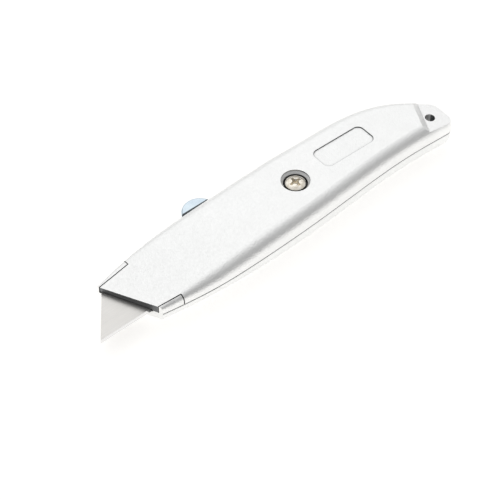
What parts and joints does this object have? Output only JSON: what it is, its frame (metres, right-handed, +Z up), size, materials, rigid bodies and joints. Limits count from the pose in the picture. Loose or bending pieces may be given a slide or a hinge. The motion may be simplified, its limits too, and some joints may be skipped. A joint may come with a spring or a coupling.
{
  "type": "utility knife",
  "caption": "Retractable utility knife: tapered die-cast two-part body, half-round thumb slide on the spine, trapezoid blade at a slanted nose, screw in a dished recess, spare blades inside.",
  "frame": {"origin": "on the body screw's axis, in the plane of the flat side that the knife lies on", "axes": "+Z up, out of the screw side; +X along the body to the tail; +Y to the spine and the thumb button"},
  "size_m": [0.1684, 0.0378, 0.0152],
  "materials": {
    "cast_alloy": "fine satin, blasted die casting",
    "screw_steel": "bright zinc plate with a warm tint",
    "zinc_steel": "dull zinc plate",
    "stamped_steel": "stamped, lightly oiled",
    "button_metal": "satin chrome with a cool tint",
    "spring_steel": "tempered spring steel",
    "blade_steel": "ground and polished, fine lengthwise grain"
  },
  "bodies": {
    "base": {"base_shell": "cast_alloy", "thread_insert": "zinc_steel", "spare_blade_1": "blade_steel", "spare_blade_2": "blade_steel", "spare_blade_3": "blade_steel", "spare_blade_4": "blade_steel", "spare_blade_5": "blade_steel", "blade_clip": "spring_steel", "clip_rivet": "zinc_steel"},
    "carrier": {"blade_carrier": "stamped_steel", "working_blade": "blade_steel", "detent_spring": "spring_steel", "spring_rivet": "zinc_steel"},
    "button": {"thumb_button": "button_metal"},
    "cover": {"cover_shell": "cast_alloy"},
    "screw": {"body_screw": "screw_steel"}
  },
  "joints": [
    {"name": "blade_slide", "type": "slide", "parent": "base", "child": "carrier", "axis": [1, 0, 0], "range_m": [0, 0.026]},
    {"name": "button_press", "type": "slide", "parent": "carrier", "child": "button", "axis": [0, -1, 0], "range_m": [0, 0.001], "stiffness_N_per_m": 2500, "springref_m": -0.0008, "deforming": ["detent_spring"]},
    {"name": "cover_lift", "type": "slide", "parent": "base", "child": "cover", "axis": [0, 0, 1], "range_m": [0, 0.035]},
    {"name": "screw_turn", "type": "hinge", "parent": "cover", "child": "screw", "pos_m": [0, 0, 0], "axis": [0, 0, 1], "continuous": true}
  ]
}
